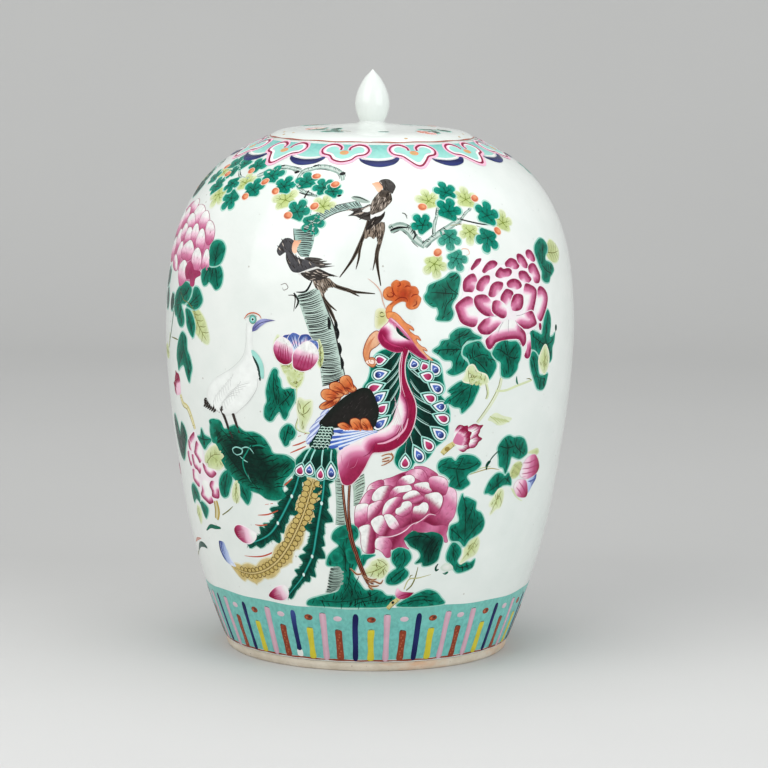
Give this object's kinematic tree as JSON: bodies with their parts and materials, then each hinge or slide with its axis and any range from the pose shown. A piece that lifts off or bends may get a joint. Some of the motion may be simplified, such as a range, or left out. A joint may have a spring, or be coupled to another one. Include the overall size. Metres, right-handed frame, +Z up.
{
  "type": "covered ginger jar",
  "caption": "Tall melon-shaped porcelain storage jar with a rounded shoulder, recessed lid seat, low domed lid with a locating flange and a bud knop, painted with birds and flowers.",
  "frame": {"origin": "centre of the foot ring's resting face", "axes": "+Z up along the jar's axis, towards the knop; -Y is the painted front"},
  "size_m": [0.273, 0.273, 0.385],
  "materials": {
    "glaze": "glossy clear glaze with a faint green tint",
    "biscuit": "bare fired clay, cream with orange burns"
  },
  "bodies": {
    "jar": {"foot_ring": "biscuit", "base_disc": "glaze", "lower_body": "glaze", "upper_body": "glaze", "mouth_rim": "biscuit"},
    "lid": {"lid_disc": "glaze", "lid_flange": "biscuit", "knop": "glaze"}
  },
  "joints": [
    {"name": "lid_lift", "type": "slide", "parent": "jar", "child": "lid", "axis": [0, 0, 1], "range_m": [0, 0.12]}
  ]
}
